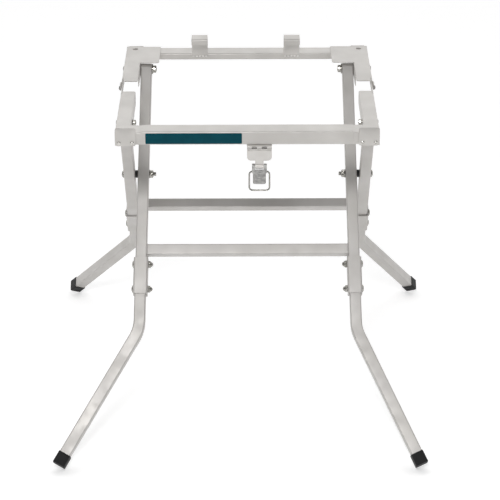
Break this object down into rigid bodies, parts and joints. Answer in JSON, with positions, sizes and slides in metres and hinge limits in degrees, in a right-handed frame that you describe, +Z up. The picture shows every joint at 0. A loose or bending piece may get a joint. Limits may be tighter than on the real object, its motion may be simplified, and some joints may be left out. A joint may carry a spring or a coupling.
{
  "type": "folding table saw stand",
  "caption": "Folding scissor-leg stand of square steel tube under a hinged rectangular top frame with rear hooks and a front draw latch, for a jobsite table saw.",
  "frame": {"origin": "on the floor, at the middle of the stand's bounding box", "axes": "+Z up, +X to the right as seen from the latch side, +Y towards the rail with the hooks"},
  "size_m": [0.7408, 0.7538, 0.6408],
  "materials": {
    "painted_tube": "smooth semi-gloss silver grey powder coat on square steel tube",
    "painted_sheet": "smooth semi-gloss silver grey powder coat on pressed steel sheet",
    "latch_sheet": "semi-gloss silver grey coat",
    "zinc_hardware": "bright zinc plating",
    "zinc_wire": "drawn wire, bright zinc plating",
    "dark_rivet": "dull plated steel",
    "ridged_lever": "dark grey, ridged and worn on the ridges",
    "black_spacer": "matt black moulded plastic",
    "rubber_foot": "matt black moulded rubber"
  },
  "bodies": {
    "inner_leg_frame": {"inner_leg_left": "painted_tube", "inner_leg_right": "painted_tube", "inner_sleeve_left": "painted_tube", "inner_sleeve_right": "painted_tube", "front_lower_leg_left": "painted_tube", "front_lower_leg_right": "painted_tube", "front_foot_left": "rubber_foot", "front_foot_right": "rubber_foot", "inner_sleeve_bolt_left_1": "zinc_hardware", "inner_sleeve_bolt_left_2": "zinc_hardware", "inner_sleeve_bolt_right_1": "zinc_hardware", "inner_sleeve_bolt_right_2": "zinc_hardware", "lower_crossbar": "painted_tube", "scissor_bolt_left": "zinc_hardware", "scissor_bolt_right": "zinc_hardware", "scissor_nut_left": "zinc_hardware", "scissor_nut_right": "zinc_hardware", "scissor_spacer_left": "black_spacer", "scissor_spacer_right": "black_spacer", "rear_pivot_bolt_left": "zinc_hardware", "rear_pivot_bolt_right": "zinc_hardware", "rear_pivot_nut_left": "zinc_hardware", "rear_pivot_nut_right": "zinc_hardware"},
    "outer_leg_frame": {"outer_leg_left": "painted_tube", "outer_leg_right": "painted_tube", "outer_sleeve_left": "painted_tube", "outer_sleeve_right": "painted_tube", "rear_lower_leg_left": "painted_tube", "rear_lower_leg_right": "painted_tube", "rear_foot_left": "rubber_foot", "rear_foot_right": "rubber_foot", "outer_sleeve_bolt_left_1": "zinc_hardware", "outer_sleeve_bolt_left_2": "zinc_hardware", "outer_sleeve_bolt_right_1": "zinc_hardware", "outer_sleeve_bolt_right_2": "zinc_hardware", "upper_crossbar": "painted_tube", "front_pivot_bolt_left": "zinc_hardware", "front_pivot_bolt_right": "zinc_hardware", "front_pivot_nut_left": "zinc_hardware", "front_pivot_nut_right": "zinc_hardware"},
    "rear_half": {"rear_rail": "painted_sheet", "rear_bracket_left": "painted_sheet", "rear_bracket_right": "painted_sheet", "rear_hook_left": "painted_sheet", "rear_hook_right": "painted_sheet", "middle_rivet_left": "dark_rivet", "middle_rivet_right": "dark_rivet", "rear_stop_left": "painted_sheet", "rear_stop_right": "painted_sheet"},
    "front_half": {"front_rail": "painted_sheet", "front_bracket_left": "painted_sheet", "front_bracket_right": "painted_sheet", "front_stop_left": "painted_sheet", "front_stop_right": "painted_sheet", "latch_fixed_leaf": "latch_sheet", "latch_hinge_pin": "zinc_hardware"},
    "latch_flap": {"latch_flap": "latch_sheet", "latch_lever_pin": "zinc_hardware"},
    "latch_lever": {"latch_lever": "ridged_lever"},
    "latch_bail": {"latch_bail": "zinc_wire"}
  },
  "joints": [
    {"name": "scissor_fold", "type": "hinge", "parent": "inner_leg_frame", "child": "outer_leg_frame", "pos_m": [0, 0, 0.4279], "axis": [-1, 0, 0], "range_deg": [0, 64]},
    {"name": "rear_half_fold", "type": "hinge", "parent": "inner_leg_frame", "child": "rear_half", "pos_m": [0, 0.1393, 0.5869], "axis": [-1, 0, 0], "range_deg": [0, 107.9]},
    {"name": "front_half_fold", "type": "hinge", "parent": "outer_leg_frame", "child": "front_half", "pos_m": [0, -0.1393, 0.5869], "axis": [1, 0, 0], "range_deg": [0, 107.9]},
    {"name": "latch_flap_swing", "type": "hinge", "parent": "front_half", "child": "latch_flap", "pos_m": [0.0302, -0.2218, 0.571], "axis": [-1, 0, 0], "range_deg": [-15, 100]},
    {"name": "latch_lever_swing", "type": "hinge", "parent": "latch_flap", "child": "latch_lever", "pos_m": [0.0302, -0.2218, 0.5363], "axis": [-1, 0, 0], "range_deg": [-30, 60]},
    {"name": "latch_bail_swing", "type": "hinge", "parent": "latch_lever", "child": "latch_bail", "pos_m": [0.0302, -0.2218, 0.5266], "axis": [-1, 0, 0], "range_deg": [-30, 40]}
  ],
  "couplings": [
    {"joint": "rear_half_fold", "follows": "scissor_fold", "ratio": 1.6853},
    {"joint": "front_half_fold", "follows": "scissor_fold", "ratio": 1.6853}
  ]
}
